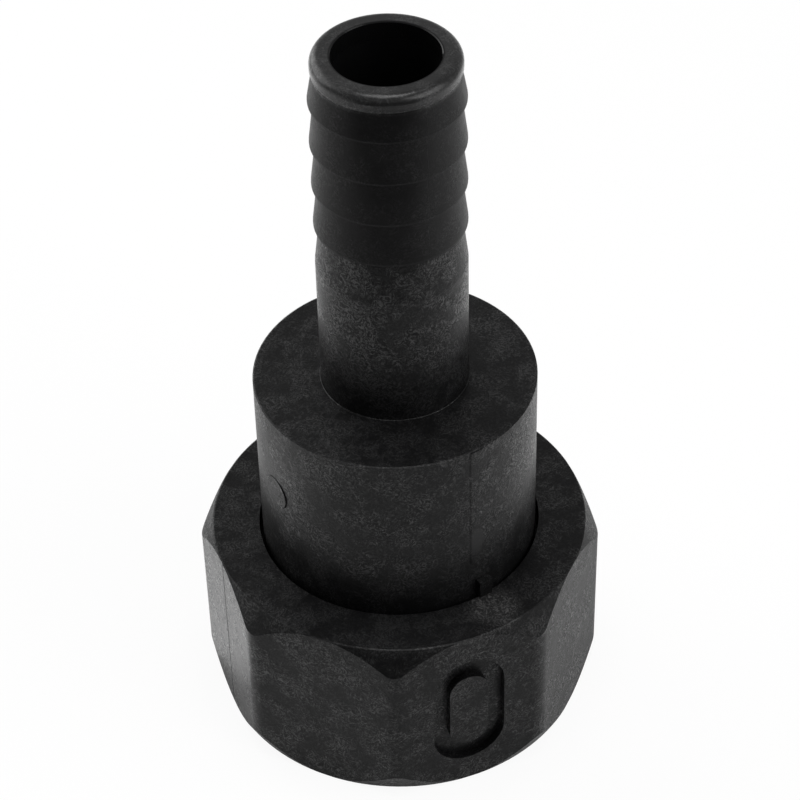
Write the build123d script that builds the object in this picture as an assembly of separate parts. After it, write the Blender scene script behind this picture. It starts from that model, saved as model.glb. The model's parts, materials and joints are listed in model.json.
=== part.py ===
from build123d import *
import os
from math import cos, pi, radians, sin, tan

# Hose connector: a barbed hose tail held captive in an octagonal union nut,
# with a flat sealing washer under the tail's flange.
# Millimetres. Z is the axis of the connector. The mouth of the nut stands on Z = 0
# and a corner of the octagon faces -Y. Azimuths are measured from -Y towards +X.

# Hose spigot, from its mouth down to the collar
spigot_length = 66.9
tube_diameter = 26.0
bore_diameter = 18.0
mouth_bevel = 0.15
nose_diameter = 24.9
nose_length = 2.4
nose_rounding = 1.5
nose_undercut = 0.7
barb_count = 4
barb_pitch = 8.24
barb_crest_diameter = 26.0
barb_root_diameter = 24.2
barb_undercut = 0.4
barb_crest_land = 0.35

# Collar between the spigot and the nut, cored out from below
collar_height = 34.85
collar_wall = 4.5
collar_top_wall = 5.0
chamber_corner_bevel = 3.0
bore_entry_bevel = 1.5

# Flange inside the nut, and the washer under it
flange_thickness = 6.0
flange_clearance = 0.328
flange_shoulder = 2.35
washer_thickness = 3.0
washer_set_back = 0.5

# Lugs on the collar that keep the nut from sliding up
lug_count = 2
lug_azimuth = 37.7
lug_width_angle = 5.8
lug_height = 3.5
lug_overlap = 0.7
lug_gap = 0.3
lug_root = 0.8

# Union nut
nut_height = 36.55
nut_side_count = 8
nut_wall = 4.393
nut_corner_rounding = 4.8
nut_top_rim_excess = 0.1
nut_top_cone_angle = 63.0
nut_bottom_rim_excess = 0.1
nut_bottom_cone_angle = 65.0
nut_cone_margin = 1.0
nut_web_thickness = 6.0
nut_hole_clearance = 0.65
thread_major_diameter = 59.614
thread_depth = 1.479
thread_length = 18.0
thread_lead_in = 1.2
axial_play = 0.4

# Broken edges on top of the collar and round both ends of the nut
edge_drop = 0.15
edge_set_back = 0.26

# Sunken recess on one flat, with a plain pad left standing inside it
recess_azimuth = 22.5
recess_height = 25.2
recess_width = 13.6
recess_depth = 1.5
pad_side_margin = 3.1
pad_end_margin = 4.0

# Radii and heights that follow from the sizes above
tube_radius = tube_diameter / 2
bore_radius = bore_diameter / 2
thread_radius = thread_major_diameter / 2
flat_radius = thread_radius + nut_wall
plain_radius = thread_radius - thread_depth
flange_radius = plain_radius - flange_clearance
hole_radius = flange_radius - flange_shoulder
collar_radius = hole_radius - nut_hole_clearance
chamber_radius = collar_radius - collar_wall
lug_radius = hole_radius + lug_overlap
washer_bore_radius = chamber_radius + washer_set_back
collar_top = nut_height + collar_height
mouth_level = collar_top + spigot_length
chamber_ceiling = collar_top - collar_top_wall
web_underside = nut_height - nut_web_thickness
flange_top = web_underside - axial_play
flange_underside = flange_top - flange_thickness
washer_underside = flange_underside - washer_thickness
lug_underside = nut_height + lug_gap
thread_top = thread_lead_in + thread_length


def turned(corners):
    """Body of revolution about Z, from corners of (radius, height, corner rounding)."""
    points = [(radius, height) for radius, height, rounding in corners]
    roundings = [rounding for radius, height, rounding in corners]
    outline = FilletPolyline(*points, radius=roundings, close=True)
    return revolve(Plane.XZ * make_face(outline), axis=Axis.Z)


def ring(inner_radius, outer_radius, bottom, top):
    """Plain ring between two radii and two heights."""
    return turned([
        (inner_radius, bottom, 0),
        (outer_radius, bottom, 0),
        (outer_radius, top, 0),
        (inner_radius, top, 0),
    ])


def barb_corners():
    """Corners of the nose and of the row of barbs, from the mouth down to the plain tube."""
    root_radius = barb_root_diameter / 2
    crest_radius = barb_crest_diameter / 2
    nose_radius = nose_diameter / 2
    corners = [
        (nose_radius, mouth_level, nose_rounding),
        (nose_radius, mouth_level - nose_length, 0),
        (root_radius, mouth_level - nose_length - nose_undercut, 0),
    ]
    for number in range(1, barb_count + 1):
        crest_level = mouth_level - number * barb_pitch
        corners.append((crest_radius, crest_level + barb_crest_land / 2, 0))
        corners.append((crest_radius, crest_level - barb_crest_land / 2, 0))
        corners.append((root_radius, crest_level - barb_crest_land / 2 - barb_undercut, 0))
    return corners


def hose_tail():
    """Spigot, collar and flange in one moulding, with the bore and the wide chamber below it."""
    tube_start = mouth_level - (barb_count + 1) * barb_pitch
    corners = [
        (bore_radius, mouth_level - mouth_bevel, 0),
        (bore_radius + mouth_bevel, mouth_level, 0),
    ]
    corners += barb_corners()
    corners += [
        (tube_radius, tube_start, 0),
        (tube_radius, collar_top, 0),
        (collar_radius - edge_set_back, collar_top, 0),
        (collar_radius, collar_top - edge_drop, 0),
        (collar_radius, flange_top, 0),
        (flange_radius, flange_top, 0),
        (flange_radius, flange_underside, 0),
        (chamber_radius, flange_underside, 0),
        (chamber_radius, chamber_ceiling - chamber_corner_bevel, 0),
        (chamber_radius - chamber_corner_bevel, chamber_ceiling, 0),
        (bore_radius + bore_entry_bevel, chamber_ceiling, 0),
        (bore_radius, chamber_ceiling + bore_entry_bevel, 0),
    ]
    body = turned(corners)
    for number in range(lug_count):
        body += lug(lug_azimuth + number * 360 / lug_count)
    return body


def lug(azimuth):
    """One stop lug, a short block rooted in the collar."""
    lug_top = lug_underside + lug_height
    outline = Polyline(
        (collar_radius - lug_root, lug_underside),
        (lug_radius, lug_underside),
        (lug_radius, lug_top),
        (collar_radius - lug_root, lug_top),
        close=True,
    )
    sector = revolve(Plane.XZ * make_face(outline), axis=Axis.Z, revolution_arc=lug_width_angle)
    return Rot(0, 0, azimuth - 90 - lug_width_angle / 2) * sector


def union_nut():
    """Octagonal nut whose corners are cut back by a cone at each end."""
    octagon = RegularPolygon(flat_radius, nut_side_count, major_radius=False)
    prism = extrude(octagon, nut_height)
    prism = fillet(prism.edges().filter_by(Axis.Z), nut_corner_rounding)

    reach = flat_radius / cos(pi / nut_side_count) + nut_cone_margin
    top_rim = flat_radius + nut_top_rim_excess / 2
    bottom_rim = flat_radius + nut_bottom_rim_excess / 2
    top_drop = edge_drop + (reach - top_rim) * tan(radians(nut_top_cone_angle))
    bottom_rise = edge_drop + (reach - bottom_rim) * tan(radians(nut_bottom_cone_angle))
    envelope = turned([
        (0, 0, 0),
        (bottom_rim - edge_set_back, 0, 0),
        (bottom_rim, edge_drop, 0),
        (reach, bottom_rise, 0),
        (reach, nut_height - top_drop, 0),
        (top_rim, nut_height - edge_drop, 0),
        (top_rim - edge_set_back, nut_height, 0),
        (0, nut_height, 0),
    ])
    return (prism & envelope) - nut_cavity() - flat_recess()


def nut_cavity():
    """The way through the nut: lead-in, thread, plain bore and the hole round the collar."""
    return turned([
        (0, 0, 0),
        (thread_radius + thread_lead_in, 0, 0),
        (thread_radius, thread_lead_in, 0),
        (thread_radius, thread_top, 0),
        (plain_radius, thread_top + thread_depth, 0),
        (plain_radius, web_underside, 0),
        (hole_radius, web_underside, 0),
        (hole_radius, nut_height, 0),
        (0, nut_height, 0),
    ])


def flat_recess():
    """Round-ended recess, upright in the middle of one flat, round a pad that is flush with the flat."""
    turn = radians(recess_azimuth)
    outward = Vector(sin(turn), -cos(turn), 0)
    sideways = Vector(cos(turn), sin(turn), 0)
    centre = outward * flat_radius + Vector(0, 0, nut_height / 2)
    face = Plane(origin=centre, x_dir=sideways, z_dir=outward)
    outer = SlotOverall(recess_height, recess_width, rotation=90)
    pad_height = recess_height - 2 * pad_end_margin
    pad_width = recess_width - 2 * pad_side_margin
    pad = SlotOverall(pad_height, pad_width, rotation=90)
    return extrude(face * (outer - pad), -recess_depth)


def sealing_washer():
    """Flat rubber ring that lies against the underside of the flange."""
    return ring(washer_bore_radius, flange_radius, washer_underside, flange_underside)


os.makedirs("parts", exist_ok=True)
export_step(hose_tail(), "parts/hose_tail.step")
export_step(union_nut(), "parts/union_nut.step")
export_step(sealing_washer(), "parts/sealing_washer.step")
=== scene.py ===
"""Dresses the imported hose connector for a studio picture.

It gives the CAD nodes their plastics and rubber, adds the thread in the nut and the fine marks
that the mould leaves, and sets the floor, the lamps and the camera.
"""

import json
import math

import bpy
from bpy.props import FloatProperty, FloatVectorProperty, IntProperty, PointerProperty
from mathutils import Matrix, Vector
from mathutils.bvhtree import BVHTree


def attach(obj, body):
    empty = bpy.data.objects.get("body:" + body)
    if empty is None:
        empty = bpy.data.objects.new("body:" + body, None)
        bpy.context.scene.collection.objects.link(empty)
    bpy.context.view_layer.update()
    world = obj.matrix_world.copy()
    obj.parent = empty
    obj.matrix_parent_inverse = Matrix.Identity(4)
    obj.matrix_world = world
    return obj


bl_info = {
    "name": "Hose connector",
    "version": (1, 0, 0),
    "blender": (4, 5, 0),
    "location": "View3D > Sidebar > Connector",
    "description": "Finishes, thread, mould marks and stage for the packed hose connector",
    "category": "Object",
}

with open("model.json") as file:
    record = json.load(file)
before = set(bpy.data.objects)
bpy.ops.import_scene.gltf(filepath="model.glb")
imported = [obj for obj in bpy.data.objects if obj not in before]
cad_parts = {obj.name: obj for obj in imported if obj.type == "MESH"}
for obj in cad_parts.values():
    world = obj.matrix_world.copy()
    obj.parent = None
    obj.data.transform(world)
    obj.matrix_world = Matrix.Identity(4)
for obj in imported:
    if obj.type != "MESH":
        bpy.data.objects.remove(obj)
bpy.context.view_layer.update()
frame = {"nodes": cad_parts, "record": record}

MM = 0.001
MOUNTS = {mount["name"]: mount for mount in frame["record"]["mounts"]}

# Zones of the tail's finish: heights, a radius and the widths of soft edges, in millimetres
TUBE_FOOT = 73
BARB_FOOT = 103.5
BARB_TOP = 134.5
# The bore gets fewer flecks: painted shade in the hole
BORE_RADIUS = MOUNTS["flow_bore"]["dims"]["r_mm"]
ZONE_EDGE = 2
NOSE_EDGE = 1
BORE_EDGE = (0.2, 0.5)

# Places with soft edges: azimuth in degrees, radius and height in millimetres, then half sizes along X, Y
# and Z. Each fades out between two shares of its half sizes. The collar's spot is a smooth, less flecked
# mark; on the nut's top, a band at the front and a patch right of the lug are made lighter.
COLLAR_SPOT = (35, 25, 50)
COLLAR_SPOT_SIZE = (2.0, 2.0, 3.6)
NUT_FRONT = (8, 29, 36.55)
NUT_FRONT_SIZE = (18, 8, 1.5)
NUT_PALE_PATCH = (36.6, 29.3, 36.55)
NUT_PALE_PATCH_SIZE = (5.5, 5.5, 2.5)
PLACE_EDGE = (0.4, 1.1)

# Pattern of the plastic: lengths in millimetres, scales per millimetre, turns in radians,
# sizes of the coarse fibres as multiples of the fine ones, bounds as levels of noise
BEND_SCALE = 0.45
BEND_REACH = 3.4
PATTERN_TURN = (0.6, 0.9, 0.4)
COARSE_SHIFT = (31.7, 12.3, 47.1)
COARSE_SIZE = 2
COARSE_WIDTH = 1.4
PATCH_SCALE = 0.2
PATCH_BOUNDS = (0.38, 0.62)
MOTTLE_BOUNDS = (0.47, 0.66)
WAVE_SCALE = 0.11

# How strongly the pattern shows: shares, and heights of the bumps in millimetres
LEAST_FLECKS = 0.2
PATCH_FLECKS = 0.85
PATCH_DULLING = 0.08
GRAIN_DULLING = 0.1
FIBRE_GLINT = 0.4
MOTTLE_GLINT = 0.75
LEAST_PALENESS = 0.15
FIBRE_HEIGHT = 0.02
WAVE_HEIGHT = 0.2

# Mould marks: places in millimetres and degrees, a share of the line's height and a count of sections
SECTION_SPACING = 0.4
SPIGOT_LINE_FOOT = 71.8
SPIGOT_LINE_TOP = 135.6
SPIGOT_LINE_SHARE = 0.3
COLLAR_STEP_FOOT = 44.7
COLLAR_STEP_SECTIONS = 67
RIDGE_SINK = 0.02
PIN_AZIMUTH = -56.4
PIN_HEIGHT = 55.1
COLLAR_RADIUS = 25
NUT_LINE_FOOT = 0.5
NUT_LINE_TOP = 36.2
NUT_LINE_SPACING = 0.5
NUT_LINE_RADII = (33.9, 32, 30, 28, 26.2)

# Form of the thread's ridge: shares of the pitch, the part of a turn over which it fades out,
# and the share of its height that is left at its ends
THREAD_FREE_LENGTH = 0.85
CREST_ROUNDING = 0.137
CREST_CUT = 0.16
FADE_TURN = 1 / 12
LEAST_RIDGE = 0.05

# Lamps that face the connector: name, setting of the power, place and size in metres
LAMPS = (
    ("top_lamp", "top_power", (0, 0, 1.0), (0.4, 0.45)),
    ("left_lamp", "left_power", (-0.55, 0.35, 0.4), (0.8, 0.6)),
    ("right_lamp", "right_power", (0.55, -0.28, 0.42), (0.6, 0.6)),
)
LAMP_AIM = (0, 0, 0.05)
PANEL_PLACE = (-0.052, 0.006, 0.001)
PANEL_AIM = (-0.052, 0.006, 1)
PANEL_SIZE = (0.03, 0.04)
CARD_SHADE = 0.16

# Share of plain white that the floor and the room show in reflections
MIRRORED_WHITE = 0.15


# Places on the connector


def round_point(azimuth, radius, height):
    """Point at an azimuth in degrees, measured from -Y towards +X."""
    turn = math.radians(azimuth)
    return Vector((radius * math.sin(turn), -radius * math.cos(turn), height))


def outward(azimuth):
    """Level direction away from the axis at an azimuth in degrees."""
    return round_point(azimuth, 1, 0)


def sideways(azimuth):
    """Level direction along the surface at an azimuth in degrees."""
    return outward(azimuth + 90)


class Surface:
    """Finds points on the outside of a CAD node."""

    def __init__(self, node):
        mesh = frame["nodes"][node].data
        corners = [vertex.co for vertex in mesh.vertices]
        faces = [tuple(polygon.vertices) for polygon in mesh.polygons]
        self.tree = BVHTree.FromPolygons(corners, faces)
        clearance = 10 * MM
        self.reach = max(corner.length for corner in corners) + clearance

    def from_the_side(self, azimuth, height):
        """Point and normal where a level line towards the axis first meets the node."""
        start = round_point(azimuth, self.reach, height)
        return self.hit(start, -outward(azimuth))

    def from_above(self, azimuth, radius):
        """Point and normal where a line straight down first meets the node."""
        start = round_point(azimuth, radius, self.reach)
        return self.hit(start, Vector((0, 0, -1)))

    def hit(self, start, direction):
        """Point and normal of the first face on a line."""
        point, normal, face, distance = self.tree.ray_cast(start, direction)
        if point is None:
            raise RuntimeError(f"no surface under {tuple(start)}")
        return point, normal


# Small pieces


def add_piece(name, points, faces, body, material, smooth=True):
    """Adds a closed mesh that rides on a body and takes the given finish."""
    mesh = bpy.data.meshes.new(name)
    mesh.from_pydata(points, [], faces)
    mesh.update()
    mesh.polygons.foreach_set("use_smooth", [smooth] * len(mesh.polygons))
    mesh.materials.append(material)
    piece = bpy.data.objects.new(name, mesh)
    bpy.context.scene.collection.objects.link(piece)
    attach(piece, body)
    return piece


def joined_sections(sections, closed):
    """Points and faces of a skin over equal rings of points, with end caps unless it closes on itself."""
    size = len(sections[0])
    points = [point for section in sections for point in section]
    faces = []
    last = len(sections) if closed else len(sections) - 1
    for number in range(last):
        here = number * size
        there = (number + 1) % len(sections) * size
        for corner in range(size):
            following = (corner + 1) % size
            faces.append((here + corner, here + following, there + following, there + corner))
    if not closed:
        faces.append(tuple(reversed(range(size))))
        faces.append(tuple(range(len(points) - size, len(points))))
    return points, faces


def ridge(path, across, width, height, sink):
    """Fine three-sided ridge along a path of points and normals, with its feet under the surface."""
    sections = []
    for point, normal in path:
        sections.append([
            point - normal * sink + across * width / 2,
            point + normal * height,
            point - normal * sink - across * width / 2,
        ])
    return joined_sections(sections, closed=False)


def step_section(azimuth, radius, level, rise, run, height):
    """Section of a slight step in a round side: a short rise to the left, a long run out to the right."""
    sink = 0.3 * MM
    profile = [(0, -sink), (0, 0), (rise, height)]
    shares = (0.15, 0.3, 0.5, 0.7, 0.85, 1.0)
    profile += [(rise + share * run, height * (1 - share)) for share in shares]
    profile.append((rise + run, -sink))
    return [
        round_point(azimuth + math.degrees(along / radius), radius + lift, level)
        for along, lift in profile
    ]


def side_path(surface, azimuth, low, high, step):
    """Points and normals up the side of a node at one azimuth."""
    count = max(2, round((high - low) / step) + 1)
    heights = [low + (high - low) * number / (count - 1) for number in range(count)]
    return [surface.from_the_side(azimuth, height) for height in heights]


def material_of(node):
    """The finish that a CAD node was given."""
    materials = frame["nodes"][node].data.materials
    if not materials or not materials[0].get("finished"):
        raise RuntimeError(f"{node} has no finish yet: run its own operator first")
    return materials[0]


# Shader maths


class Wire:
    """One output socket. Maths on it adds Math nodes, so that a shader reads as plain expressions."""

    def __init__(self, finish, socket):
        self.finish = finish
        self.socket = socket

    def _math(self, operation, first, second):
        return self.finish.node("ShaderNodeMath", {"operation": operation}, {0: first, 1: second})

    def __add__(self, other):
        return self._math("ADD", self, other)

    def __radd__(self, other):
        return self._math("ADD", other, self)

    def __sub__(self, other):
        return self._math("SUBTRACT", self, other)

    def __rsub__(self, other):
        return self._math("SUBTRACT", other, self)

    def __mul__(self, other):
        return self._math("MULTIPLY", self, other)

    def __rmul__(self, other):
        return self._math("MULTIPLY", other, self)

    def larger(self, other):
        return self._math("MAXIMUM", self, other)

    def smaller(self, other):
        return self._math("MINIMUM", self, other)


class Finish:
    """A material or a world under construction: adds nodes, sets them and links them."""

    def __init__(self, name, kind="materials"):
        self.block = getattr(bpy.data, kind).new(name)
        self.block.use_nodes = True
        self.block["finished"] = True
        self.tree = self.block.node_tree
        self.tree.nodes.clear()

    def node(self, kind, settings=None, sockets=None, output=0):
        """Adds a node, makes its settings, fills its sockets and returns one of its outputs."""
        made = self.tree.nodes.new(kind)
        for name, value in (settings or {}).items():
            setattr(made, name, value)
        for key, value in (sockets or {}).items():
            if isinstance(value, Wire):
                self.tree.links.new(value.socket, made.inputs[key])
            else:
                made.inputs[key].default_value = value
        if not made.outputs:
            return None
        return Wire(self, made.outputs[output])

    def vector(self, operation, first, second=None, scale=None, output="Vector"):
        """One Vector Math node."""
        sockets = {0: first}
        if second is not None:
            sockets[1] = second
        if scale is not None:
            sockets["Scale"] = scale
        return self.node("ShaderNodeVectorMath", {"operation": operation}, sockets, output)

    def mix_colour(self, factor, first, second):
        """A colour between two colours."""
        sockets = {"Factor": factor, 6: first, 7: second}
        return self.node("ShaderNodeMix", {"data_type": "RGBA"}, sockets, 2)

    def noise(self, place, scale, detail=2.0, roughness=0.5, output="Fac"):
        """Soft noise between 0 and 1."""
        sockets = {"Vector": place, "Scale": scale, "Detail": detail, "Roughness": roughness}
        return self.node("ShaderNodeTexNoise", {"noise_dimensions": "3D"}, sockets, output)

    def rise(self, value, low, high):
        """0 below low, 1 above high and a smooth rise between them."""
        sockets = {"Value": value, "From Min": low, "From Max": high}
        return self.node("ShaderNodeMapRange", {"interpolation_type": "SMOOTHSTEP"}, sockets)

    def place(self):
        """Position on the object in millimetres."""
        coordinates = self.node("ShaderNodeTexCoord", output="Object")
        return self.vector("SCALE", coordinates, scale=1 / MM)

    def white_share(self, seen_white, mirrored_white):
        """Share of plain white: one for the camera, one for glossy and clear surfaces."""
        camera = self.node("ShaderNodeLightPath", output="Is Camera Ray")
        glossy = self.node("ShaderNodeLightPath", output="Is Glossy Ray")
        clear = self.node("ShaderNodeLightPath", output="Is Transmission Ray")
        return camera * seen_white + (glossy + clear) * mirrored_white

    def surface(self, shader, output="ShaderNodeOutputMaterial"):
        """Ends the material or the world with its surface shader."""
        self.node(output, sockets={"Surface": shader})
        return self.block


def fibres(finish, place, spacing, width, length):
    """Mask of short straight fibres that lie at all angles, one to a cell of the given spacing."""
    core = 0.25
    fade_start = 0.35
    fade_end = 0.5
    cells = {"Vector": place, "Scale": 1 / spacing}
    settings = {"voronoi_dimensions": "3D", "feature": "F1"}
    centre = finish.node("ShaderNodeTexVoronoi", settings, cells, "Position")
    tint = finish.node("ShaderNodeTexVoronoi", settings, cells, "Color")
    lean = finish.vector("SUBTRACT", tint, (0.5, 0.5, 0.5))
    direction = finish.vector("NORMALIZE", lean)
    offset = finish.vector("SUBTRACT", place, centre)
    along = finish.vector("DOT_PRODUCT", offset, direction, output="Value")
    shadow = finish.vector("SCALE", direction, scale=along)
    aside = finish.vector("SUBTRACT", offset, shadow)
    away = finish.vector("LENGTH", aside, output="Value")
    reach = along * along
    narrow = 1 - finish.rise(away, width * core, width)
    short = 1 - finish.rise(reach, (length * fade_start) ** 2, (length * fade_end) ** 2)
    return narrow * short


def soft_place(finish, place, middle, half_sizes):
    """Mask with soft edges round a point, from half sizes along X, Y and Z in millimetres."""
    offset = finish.vector("SUBTRACT", place, tuple(middle))
    squeezed = finish.vector("MULTIPLY", offset, tuple(1 / size for size in half_sizes))
    away = finish.vector("LENGTH", squeezed, output="Value")
    return 1 - finish.rise(away, *PLACE_EDGE)


def tail_wear_and_shade(finish, place):
    """Share of the flecks, change of roughness, added glint and pale patches over the tail, which has
    none. Fewer flecks in the bore darken the hole: painted shade.
    """
    more_on_tube = 0.4
    less_on_barbs = 0.82
    less_on_nose = 0.5
    # Fewer flecks in the bore: painted shade that darkens the hole
    bore_painted_shade = 0.9
    less_on_spot = 0.9
    nose_glint = 0.45
    spot_glint = 0.2
    nose_dulling = -0.2
    no_pale_patch = 0.0
    height = finish.node("ShaderNodeSeparateXYZ", sockets={"Vector": place}, output="Z")
    level = finish.vector("MULTIPLY", place, (1, 1, 0))
    radius = finish.vector("LENGTH", level, output="Value")
    tube = finish.rise(height, TUBE_FOOT, TUBE_FOOT + ZONE_EDGE)
    nose = finish.rise(height, BARB_TOP, BARB_TOP + NOSE_EDGE)
    barbs = finish.rise(height, BARB_FOOT, BARB_FOOT + ZONE_EDGE) * (1 - nose)
    bore = 1 - finish.rise(radius, BORE_RADIUS + BORE_EDGE[0], BORE_RADIUS + BORE_EDGE[1])
    spot = soft_place(finish, place, round_point(*COLLAR_SPOT), COLLAR_SPOT_SIZE)
    share = (1 + tube * more_on_tube) * (1 - barbs * less_on_barbs) * (1 - nose * less_on_nose)
    # The bore's share of flecks paints shade into the hole
    share = share * (1 - bore * bore_painted_shade) * (1 - spot * less_on_spot)
    glint = nose * (1 - bore) * nose_glint + spot * spot_glint
    return share, nose * nose_dulling, glint, no_pale_patch


def nut_patches(finish, place):
    """Share of the flecks, change of roughness, added glint and pale patch over the nut: more flecks and
    glint in a band at the front of its top face, so that it reads lighter, and a pale patch right of the
    lug.
    """
    more_in_front = 1.2
    front_glint = 0.25
    no_dulling = 0.0
    front = soft_place(finish, place, round_point(*NUT_FRONT), NUT_FRONT_SIZE)
    pale_patch = soft_place(finish, place, round_point(*NUT_PALE_PATCH), NUT_PALE_PATCH_SIZE)
    return 1 + front * more_in_front, no_dulling, front * front_glint, pale_patch


def bent_place(finish, place):
    """Position turned and bent, so that the fibres don't line up in rows."""
    turned = finish.node("ShaderNodeVectorRotate", {"rotation_type": "EULER_XYZ"}, {
        "Vector": place,
        "Rotation": PATTERN_TURN,
    })
    bend = finish.noise(place, BEND_SCALE, output="Color")
    return finish.vector("ADD", turned, finish.vector("SCALE", bend, scale=BEND_REACH))


def all_fibres(finish, place, settings):
    """Mask of the short fibres, and of longer and wider ones among them."""
    spacing = settings.fibre_spacing / MM
    width = settings.fibre_width / MM
    length = settings.fibre_length / MM
    fine = fibres(finish, place, spacing, width, length)
    shifted = finish.vector("ADD", place, COARSE_SHIFT)
    coarse = fibres(
        finish, shifted, spacing * COARSE_SIZE, width * COARSE_WIDTH, length * COARSE_SIZE,
    )
    return fine.larger(coarse)


def filled_plastic(name, settings, wear_and_shade, gloss_share=1.0, fleck_share=1.0):
    """Black resin filled with glass fibre. The wear_and_shade function says by place how flecked, smooth
    and glossy it is and where it has a pale patch; in the tail's bore it paints shade.
    """
    finish = Finish(name)
    place = finish.place()
    bent = bent_place(finish, place)
    grain = finish.noise(bent, 1 / (settings.grain_size / MM), detail=4.0, roughness=0.75)
    mottle = finish.rise(grain, *MOTTLE_BOUNDS)
    spread = finish.noise(place, PATCH_SCALE, detail=4.0, roughness=0.65)
    patches = finish.rise(spread, *PATCH_BOUNDS)
    share, dulling, glint, pale_patch = wear_and_shade(finish, place)
    strength = (LEAST_FLECKS + patches * PATCH_FLECKS) * fleck_share * share
    unevenness = (patches - 0.5) * PATCH_DULLING + (grain - 0.5) * GRAIN_DULLING
    roughness = settings.roughness + unevenness + dulling
    strokes = all_fibres(finish, bent, settings) * strength
    speckle = (strokes * FIBRE_GLINT + mottle * strength * MOTTLE_GLINT + glint).smaller(1.0)
    resin = settings.resin_colour[:] + (1,)
    fibre = settings.fibre_colour[:] + (1,)
    paler = settings.pale_patch_colour[:] + (1,)
    # Only the nut has a pale patch, on its top right of the lug
    patch_paleness = pale_patch * (LEAST_PALENESS + mottle * (1 - LEAST_PALENESS))
    colour = finish.mix_colour(patch_paleness, finish.mix_colour(speckle, resin, fibre), paler)
    waves = finish.noise(place, WAVE_SCALE, detail=1.0)
    mottling = grain * strength * (settings.grain_depth / MM)
    bumps = strokes * FIBRE_HEIGHT + mottling + waves * WAVE_HEIGHT
    normal = finish.node(
        "ShaderNodeBump",
        sockets={"Strength": 1.0, "Distance": MM, "Height": bumps},
    )
    shader = finish.node(
        "ShaderNodeBsdfPrincipled",
        sockets={
            "Base Color": colour,
            "Roughness": roughness,
            "Specular IOR Level": settings.gloss * gloss_share,
            "Coat Weight": speckle,
            "Coat Roughness": settings.glint_roughness,
            "Coat IOR": settings.glint_index,
            "Normal": normal,
        },
    )
    return finish.surface(shader)


def rubber(name, colour):
    """Dull black rubber with a fine grain and a pale bloom."""
    paleness = 2.2
    bloom_share = 0.5
    grain_share = 0.2
    grain_height = 0.02
    finish = Finish(name)
    place = finish.place()
    grain = finish.noise(place, 4.0, detail=3.0, roughness=0.6)
    bloom = finish.rise(finish.noise(place, 0.2), 0.35, 0.7)
    dusty = tuple(channel * paleness for channel in colour) + (1,)
    dust = bloom * bloom_share + grain * grain_share
    shade = finish.mix_colour(dust, tuple(colour) + (1,), dusty)
    normal = finish.node(
        "ShaderNodeBump",
        sockets={"Strength": 1.0, "Distance": MM, "Height": grain * grain_height},
    )
    shader = finish.node(
        "ShaderNodeBsdfPrincipled",
        sockets={
            "Base Color": shade,
            "Roughness": 0.6 + grain * grain_share,
            "Specular IOR Level": 0.3,
            "Normal": normal,
        },
    )
    return finish.surface(shader)


def pale_floor(name, colour, seen_white):
    """Pale floor that looks close to white and keeps the object's shadow."""
    finish = Finish(name)
    matte = finish.node("ShaderNodeBsdfDiffuse", sockets={"Color": tuple(colour) + (1,)})
    white = finish.node("ShaderNodeEmission", sockets={"Color": (1, 1, 1, 1), "Strength": 1.0})
    share = finish.white_share(seen_white, MIRRORED_WHITE)
    return finish.surface(finish.node("ShaderNodeMixShader", sockets={0: share, 1: matte, 2: white}))


def grey_room(name, strength):
    """Room with even grey light that looks white."""
    finish = Finish(name, "worlds")
    share = finish.white_share(1.0, MIRRORED_WHITE)
    shade = strength + share * (1 - strength)
    light = finish.node("ShaderNodeBackground", sockets={"Color": (1, 1, 1, 1), "Strength": shade})
    return finish.surface(light, "ShaderNodeOutputWorld")


# Sizes and colours that a user would change


class PlasticSettings(bpy.types.PropertyGroup):
    """Colours and grain of the moulded plastic."""

    resin_colour: FloatVectorProperty(
        name="Resin", description="Colour of the resin between the fibres",
        subtype="COLOR", size=3, min=0, max=1, default=(0.003, 0.003, 0.0032),
    )
    fibre_colour: FloatVectorProperty(
        name="Fibres", description="Colour of the glass fibres that show at the surface",
        subtype="COLOR", size=3, min=0, max=1, default=(0.010, 0.010, 0.0103),
    )
    # Colour of the pale patch on the nut's top, right of the lug
    pale_patch_colour: FloatVectorProperty(
        name="Patch", description="Colour of the plastic where it is scuffed",
        subtype="COLOR", size=3, min=0, max=1, default=(0.075, 0.074, 0.074),
    )
    fibre_spacing: FloatProperty(
        name="Fibre spacing", description="Distance between neighbouring fibres",
        unit="LENGTH", min=0.1 * MM, max=5 * MM, default=0.55 * MM,
    )
    fibre_width: FloatProperty(
        name="Fibre width", description="Width of the shorter fibres",
        unit="LENGTH", min=0.01 * MM, max=1 * MM, default=0.17 * MM,
    )
    fibre_length: FloatProperty(
        name="Fibre length", description="Length of the shorter fibres",
        unit="LENGTH", min=0.05 * MM, max=5 * MM, default=0.9 * MM,
    )
    grain_size: FloatProperty(
        name="Grain size", description="Size of the mottling between the fibres",
        unit="LENGTH", min=0.05 * MM, max=5 * MM, default=0.48 * MM,
    )
    grain_depth: FloatProperty(
        name="Grain depth", description="Depth of the mottling",
        unit="LENGTH", min=0, max=1 * MM, default=0.07 * MM,
    )
    roughness: FloatProperty(
        name="Roughness", description="How dull the surface is",
        subtype="FACTOR", min=0, max=1, default=0.40,
    )
    gloss: FloatProperty(
        name="Gloss", description="How strongly the surface reflects when seen straight on",
        subtype="FACTOR", min=0, max=1, default=0.145,
    )
    glint_index: FloatProperty(
        name="Glint", description="Refractive index of the clear skin over the fibres",
        min=1, max=2, default=1.42,
    )
    glint_roughness: FloatProperty(
        name="Glint roughness", description="How dull the skin over the fibres is",
        subtype="FACTOR", min=0, max=1, default=0.30,
    )


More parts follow.
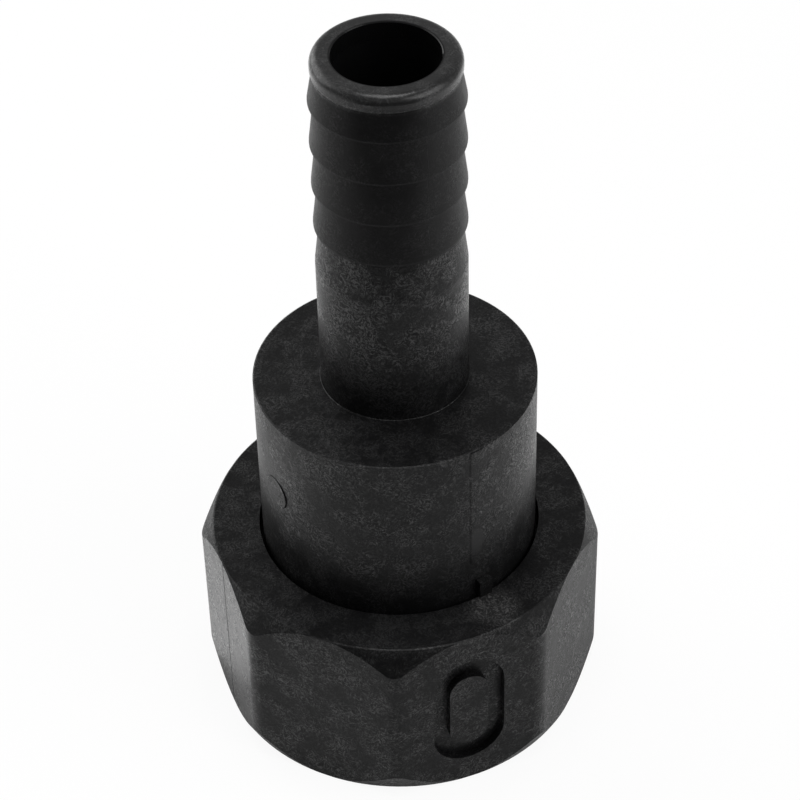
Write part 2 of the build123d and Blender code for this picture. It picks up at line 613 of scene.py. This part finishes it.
class MarkSettings(bpy.types.PropertyGroup):
    """Sizes of the fine marks that the mould leaves."""

    line_width: FloatProperty(
        name="Line width", description="Width of the parting line",
        unit="LENGTH", min=0.05 * MM, max=1 * MM, default=0.24 * MM,
    )
    line_height: FloatProperty(
        name="Line height", description="How far the parting line stands out",
        unit="LENGTH", min=0.01 * MM, max=0.5 * MM, default=0.05 * MM,
    )
    step_height: FloatProperty(
        name="Step height", description="Height of the step between the two halves of the collar",
        unit="LENGTH", min=0.01 * MM, max=0.5 * MM, default=0.19 * MM,
    )
    step_rise: FloatProperty(
        name="Step rise", description="Width of the short side of the step",
        unit="LENGTH", min=0.05 * MM, max=2 * MM, default=0.3 * MM,
    )
    step_run: FloatProperty(
        name="Step run", description="Width over which the step runs out again",
        unit="LENGTH", min=0.2 * MM, max=10 * MM, default=3.5 * MM,
    )
    tail_line: FloatProperty(
        name="Line on the tail", description="Azimuth of the tail's parting line",
        unit="ROTATION", default=math.radians(31.8),
    )
    nut_line: FloatProperty(
        name="Line on the nut", description="Azimuth of the nut's parting line",
        unit="ROTATION", default=math.radians(-67.5),
    )
    pin_radius: FloatProperty(
        name="Pin mark radius", description="Radius of the flat pin mark on the collar",
        unit="LENGTH", min=0.5 * MM, max=6 * MM, default=3.2 * MM,
    )
    bead_radius: FloatProperty(
        name="Foot bead", description="Radius of the bead at the foot of the spigot",
        unit="LENGTH", min=0.05 * MM, max=1 * MM, default=0.16 * MM,
    )


class ThreadSettings(bpy.types.PropertyGroup):
    """Sizes of the thread in the nut."""

    pitch: FloatProperty(
        name="Pitch", description="Distance from one turn to the next",
        unit="LENGTH", min=0.5 * MM, max=6 * MM, default=2.309 * MM,
    )
    depth: FloatProperty(
        name="Depth", description="Height of the thread's ridge",
        unit="LENGTH", min=0.2 * MM, max=4 * MM, default=1.479 * MM,
    )
    flank_angle: FloatProperty(
        name="Flank angle", description="Angle between the two sides of the ridge",
        unit="ROTATION", default=math.radians(55),
    )
    steps: IntProperty(
        name="Steps", description="Sections in one turn of the ridge",
        min=24, max=360, default=96,
    )


class StageSettings(bpy.types.PropertyGroup):
    """Camera, lamps and floor."""

    floor_colour: FloatVectorProperty(
        name="Floor", description="Colour of the floor",
        subtype="COLOR", size=3, min=0, max=1, default=(0.9, 0.9, 0.9),
    )
    floor_white: FloatProperty(
        name="Floor white", description="Share of plain white in the floor as the camera sees it",
        subtype="FACTOR", min=0, max=1, default=0.92,
    )
    world_light: FloatProperty(
        name="Room light", description="Strength of the even light from all round",
        min=0, max=2, default=0.37,
    )
    top_power: FloatProperty(
        name="Top lamp", description="Power of the lamp overhead",
        unit="POWER", min=0, max=200, default=3.3,
    )
    left_power: FloatProperty(
        name="Left lamp", description="Power of the lamp on the left",
        unit="POWER", min=0, max=200, default=2.9,
    )
    right_power: FloatProperty(
        name="Right lamp", description="Power of the lamp on the right",
        unit="POWER", min=0, max=200, default=3.0,
    )
    panel_power: FloatProperty(
        name="Floor panel", description="Power of the small lamp that lies on the floor at the left",
        unit="POWER", min=0, max=10, default=0.0036,
    )
    card_distance: FloatProperty(
        name="Card distance", description="From the axis to the dark card in front",
        unit="LENGTH", min=0.1, max=2, default=0.21,
    )
    lens: FloatProperty(
        name="Lens", description="Focal length of the camera",
        unit="CAMERA", min=20, max=400, default=122.413,
    )
    distance: FloatProperty(
        name="Distance", description="From the camera to the point it is set up round",
        unit="LENGTH", min=0.1, max=5, default=481.4 * MM,
    )
    aim_height: FloatProperty(
        name="Aim height", description="Height on the axis of the point the camera is set up round",
        unit="LENGTH", min=0, max=1, default=64.51 * MM,
    )
    azimuth: FloatProperty(
        name="Azimuth", description="Direction of the camera from the axis",
        unit="ROTATION", default=math.radians(2.596),
    )
    elevation: FloatProperty(
        name="Elevation", description="Angle of the camera above the floor",
        unit="ROTATION", default=math.radians(41.633),
    )
    pan: FloatProperty(
        name="Pan", description="Small turn of the camera to its right",
        unit="ROTATION", default=math.radians(0.089),
    )
    roll: FloatProperty(
        name="Roll", description="Small turn of the camera about its own line of sight",
        unit="ROTATION", default=math.radians(-1.597),
    )


# Operators


class CONNECTOR_OT_tail(bpy.types.Operator):
    """Finish the hose tail and add its parting lines, pin mark and foot bead"""

    bl_idname = "connector.tail"
    bl_label = "Hose tail"

    def execute(self, context):
        plastic = context.scene.connector_plastic
        material = filled_plastic("tail_plastic_finish", plastic, tail_wear_and_shade, fleck_share=1.3)
        tail = frame["nodes"]["hose_tail"]
        tail.data.materials[0] = material
        surface = Surface("hose_tail")
        self.add_lines(context.scene.connector_marks, surface, material)
        self.add_pin_mark(context.scene.connector_marks, material)
        self.add_foot_bead(context.scene.connector_marks, material)
        return {"FINISHED"}

    def add_lines(self, marks, surface, material):
        """Parting lines up both sides of the spigot and the collar."""
        spacing = SECTION_SPACING * MM
        low_height = marks.line_height * SPIGOT_LINE_SHARE
        for half in (0, 1):
            azimuth = math.degrees(marks.tail_line) + 180 * half
            path = side_path(surface, azimuth, SPIGOT_LINE_FOOT * MM, SPIGOT_LINE_TOP * MM, spacing)
            points, faces = ridge(
                path, sideways(azimuth), marks.line_width, low_height, RIDGE_SINK * MM,
            )
            add_piece(f"spigot_line_{half + 1}", points, faces, "tail", material, False)

            sections = []
            for number in range(COLLAR_STEP_SECTIONS):
                level = (COLLAR_STEP_FOOT + number * SECTION_SPACING) * MM
                point = surface.from_the_side(azimuth, level)[0]
                radius = math.hypot(point.x, point.y)
                sections.append(step_section(
                    azimuth, radius, level, marks.step_rise, marks.step_run, marks.step_height,
                ))
            points, faces = joined_sections(sections, closed=False)
            add_piece(f"collar_step_{half + 1}", points, faces, "tail", material, False)

    def add_pin_mark(self, marks, material):
        """Flat round mark on the collar, whose left and right edges stand out of the curved side."""
        steps = 72
        lift_height = 0.06
        root_depth = -0.6
        middle = round_point(PIN_AZIMUTH, COLLAR_RADIUS * MM, PIN_HEIGHT * MM)
        out = outward(PIN_AZIMUTH)
        level = sideways(PIN_AZIMUTH)
        up = Vector((0, 0, 1))
        rings = ((1.0, root_depth), (1.0, 0.0), (0.97, lift_height), (0.4, lift_height))
        sections = []
        for radius_share, lift in rings:
            section = []
            for step in range(steps):
                turn = math.tau * step / steps
                spoke = level * math.cos(turn) + up * math.sin(turn)
                section.append(middle + spoke * marks.pin_radius * radius_share + out * lift * MM)
            sections.append(section)
        points, faces = joined_sections(sections, closed=False)
        add_piece("pin_mark", points, faces, "tail", material, False)

    def add_foot_bead(self, marks, material):
        """Slim bead where the spigot meets the top of the collar."""
        radius = MOUNTS["hose_spigot"]["dims"]["r_mm"] * MM
        level = MOUNTS["hose_spigot"]["pos_m"][2] - MOUNTS["hose_spigot"]["dims"]["length_mm"] * MM / 2
        steps = 180
        corners = 10
        set_off = 0.5
        sections = []
        for step in range(steps):
            azimuth = 360 * step / steps
            section = []
            for corner in range(corners):
                turn = math.tau * corner / corners
                reach = radius + marks.bead_radius * (set_off + math.cos(turn))
                section.append(round_point(azimuth, reach, level + marks.bead_radius * math.sin(turn)))
            sections.append(section)
        points, faces = joined_sections(sections, closed=True)
        add_piece("foot_bead", points, faces, "tail", material)


class CONNECTOR_OT_nut(bpy.types.Operator):
    """Finish the union nut and add its parting lines"""

    bl_idname = "connector.nut"
    bl_label = "Union nut"

    def execute(self, context):
        plastic = context.scene.connector_plastic
        material = filled_plastic(
            "nut_plastic_finish", plastic, nut_patches, gloss_share=0.82, fleck_share=1.15,
        )
        nut = frame["nodes"]["union_nut"]
        nut.data.materials[0] = material
        surface = Surface("union_nut")
        marks = context.scene.connector_marks
        for half in (0, 1):
            azimuth = math.degrees(marks.nut_line) + 180 * half
            path = side_path(
                surface, azimuth, NUT_LINE_FOOT * MM, NUT_LINE_TOP * MM, NUT_LINE_SPACING * MM,
            )
            for radius in NUT_LINE_RADII:
                path.append(surface.from_above(azimuth, radius * MM))
            points, faces = ridge(
                path, sideways(azimuth), marks.line_width, marks.line_height, RIDGE_SINK * MM,
            )
            add_piece(f"nut_line_{half + 1}", points, faces, "nut", material, False)
        return {"FINISHED"}


class CONNECTOR_OT_thread(bpy.types.Operator):
    """Add the helical ridge of the thread inside the nut"""

    bl_idname = "connector.thread"
    bl_label = "Thread"

    def execute(self, context):
        thread = context.scene.connector_thread
        mount = MOUNTS["nut_thread"]
        root = mount["dims"]["r_mm"] * MM
        length = mount["dims"]["length_mm"] * MM - thread.pitch * THREAD_FREE_LENGTH
        bottom = mount["pos_m"][2] - length / 2
        turns = length / thread.pitch
        count = round(turns * thread.steps)
        fade = thread.steps * FADE_TURN
        sections = []
        for step in range(count + 1):
            azimuth = 360 * step / thread.steps
            level = bottom + thread.pitch * step / thread.steps
            share = min(1.0, step / fade, (count - step) / fade)
            sections.append(self.section(thread, root, azimuth, level, share))
        points, faces = joined_sections(sections, closed=False)
        add_piece("nut_thread", points, faces, "nut", material_of("union_nut"))
        return {"FINISHED"}

    def section(self, thread, root, azimuth, level, share):
        """Cross-section of the ridge: straight flanks and a rounded crest, its back in the wall."""
        slope = math.tan(thread.flank_angle / 2)
        rounding = CREST_ROUNDING * thread.pitch
        half_base = (thread.depth + CREST_CUT * thread.pitch) * slope
        backing = 0.15 * MM
        profile = [(-backing, -half_base), (0, -half_base)]
        crest_steps = 6
        lean = math.pi / 2 - thread.flank_angle / 2
        for number in range(crest_steps + 1):
            turn = -lean + 2 * lean * number / crest_steps
            profile.append((
                thread.depth - rounding * (1 - math.cos(turn)),
                rounding * math.sin(turn),
            ))
        profile += [(0, half_base), (-backing, half_base)]
        fade_radius = root + backing / 2 * (1 - share)
        return [
            round_point(azimuth, fade_radius - rise * max(share, LEAST_RIDGE), level + along)
            for rise, along in profile
        ]


class CONNECTOR_OT_washer(bpy.types.Operator):
    """Finish the sealing washer in rubber"""

    bl_idname = "connector.washer"
    bl_label = "Sealing washer"

    def execute(self, context):
        washer = frame["nodes"]["sealing_washer"]
        washer.data.materials[0] = rubber("washer_rubber_finish", (0.012, 0.012, 0.012))
        return {"FINISHED"}


class CONNECTOR_OT_stage(bpy.types.Operator):
    """Set up the floor, the lamps, the room light and the camera"""

    bl_idname = "connector.stage"
    bl_label = "Stage"

    def execute(self, context):
        stage = context.scene.connector_stage
        self.add_floor(stage)
        self.add_front_card(stage)
        for name, setting, place, size in LAMPS:
            self.add_lamp(name, place, LAMP_AIM, size, getattr(stage, setting))
        panel = self.add_lamp("floor_panel", PANEL_PLACE, PANEL_AIM, PANEL_SIZE, stage.panel_power)
        panel.visible_camera = False
        context.scene.world = grey_room("room", stage.world_light)
        self.add_camera(context.scene, stage)
        context.scene.view_settings.view_transform = "Standard"
        return {"FINISHED"}

    def add_floor(self, stage):
        """Large level floor under the nut."""
        half = 3.0
        mesh = bpy.data.meshes.new("floor")
        corners = [(-half, -half, 0), (half, -half, 0), (half, half, 0), (-half, half, 0)]
        mesh.from_pydata(corners, [], [(0, 1, 2, 3)])
        mesh.materials.append(pale_floor("floor_finish", stage.floor_colour, stage.floor_white))
        floor = bpy.data.objects.new("floor", mesh)
        bpy.context.scene.collection.objects.link(floor)

    def add_front_card(self, stage):
        """Dark grey card in front, out of the picture, that darkens what faces the camera."""
        half_width = 0.25
        height = 0.18
        finish = Finish("card_finish")
        dark = finish.node("ShaderNodeBsdfDiffuse", sockets={"Color": (CARD_SHADE,) * 3 + (1,)})
        mesh = bpy.data.meshes.new("front_card")
        corners = [
            (-half_width, -stage.card_distance, 0),
            (half_width, -stage.card_distance, 0),
            (half_width, -stage.card_distance, height),
            (-half_width, -stage.card_distance, height),
        ]
        mesh.from_pydata(corners, [], [(0, 1, 2, 3)])
        mesh.materials.append(finish.surface(dark))
        card = bpy.data.objects.new("front_card", mesh)
        bpy.context.scene.collection.objects.link(card)
        card.visible_camera = False
        card.visible_shadow = False

    def add_lamp(self, name, place, aim, size, power):
        """Rectangular soft lamp that faces a point."""
        lamp = bpy.data.lights.new(name, "AREA")
        lamp.shape = "RECTANGLE"
        lamp.size = size[0]
        lamp.size_y = size[1]
        lamp.energy = power
        holder = bpy.data.objects.new(name, lamp)
        bpy.context.scene.collection.objects.link(holder)
        holder.location = place
        holder.rotation_euler = (Vector(aim) - Vector(place)).to_track_quat("-Z", "Y").to_euler()
        return holder

    def add_camera(self, scene, stage):
        """Camera at the angle, distance and lens of the picture."""
        turn = Matrix.Rotation(stage.azimuth, 3, "Z")
        sine = math.sin(stage.elevation)
        cosine = math.cos(stage.elevation)
        place = turn @ Vector((0, -stage.distance * cosine, stage.aim_height + stage.distance * sine))
        ahead = turn @ Vector((0, cosine, -sine))
        right = turn @ Vector((1, 0, 0))
        up = right.cross(ahead)
        panned_ahead = ahead * math.cos(stage.pan) + right * math.sin(stage.pan)
        panned_right = right * math.cos(stage.pan) - ahead * math.sin(stage.pan)
        rolled_right = panned_right * math.cos(stage.roll) + up * math.sin(stage.roll)
        rolled_up = up * math.cos(stage.roll) - panned_right * math.sin(stage.roll)
        axes = Matrix((rolled_right, rolled_up, -panned_ahead)).transposed()
        camera = bpy.data.cameras.new("camera")
        camera.lens = stage.lens
        camera.sensor_width = 36
        camera.clip_start = 0.01
        holder = bpy.data.objects.new("camera", camera)
        scene.collection.objects.link(holder)
        holder.matrix_world = Matrix.Translation(place) @ axes.to_4x4()
        scene.camera = holder


class VIEW3D_PT_connector(bpy.types.Panel):
    """Lists the connector's operators and their settings"""

    bl_label = "Hose connector"
    bl_space_type = "VIEW_3D"
    bl_region_type = "UI"
    bl_category = "Connector"

    def draw(self, context):
        scene = context.scene
        for operator, group in PANEL_ROWS:
            box = self.layout.box()
            box.operator(operator)
            if group is None:
                continue
            settings = getattr(scene, group)
            for name in settings.__annotations__:
                box.prop(settings, name)


PANEL_ROWS = (
    ("connector.tail", "connector_plastic"),
    ("connector.nut", "connector_marks"),
    ("connector.thread", "connector_thread"),
    ("connector.washer", None),
    ("connector.stage", "connector_stage"),
)

SETTINGS = {
    "connector_plastic": PlasticSettings,
    "connector_marks": MarkSettings,
    "connector_thread": ThreadSettings,
    "connector_stage": StageSettings,
}

CLASSES = (
    PlasticSettings,
    MarkSettings,
    ThreadSettings,
    StageSettings,
    CONNECTOR_OT_tail,
    CONNECTOR_OT_nut,
    CONNECTOR_OT_thread,
    CONNECTOR_OT_washer,
    CONNECTOR_OT_stage,
    VIEW3D_PT_connector,
)


def register():
    """Adds the classes and the settings to Blender."""
    for entry in CLASSES:
        bpy.utils.register_class(entry)
    for name, group in SETTINGS.items():
        setattr(bpy.types.Scene, name, PointerProperty(type=group))


def unregister():
    """Takes the settings and the classes out again."""
    for name in SETTINGS:
        delattr(bpy.types.Scene, name)
    for entry in reversed(CLASSES):
        bpy.utils.unregister_class(entry)


def main():
    """Builds the whole scene."""
    register()
    bpy.ops.connector.stage()
    bpy.ops.connector.tail()
    bpy.ops.connector.nut()
    bpy.ops.connector.thread()
    bpy.ops.connector.washer()


if __name__ == "__main__":
    main()
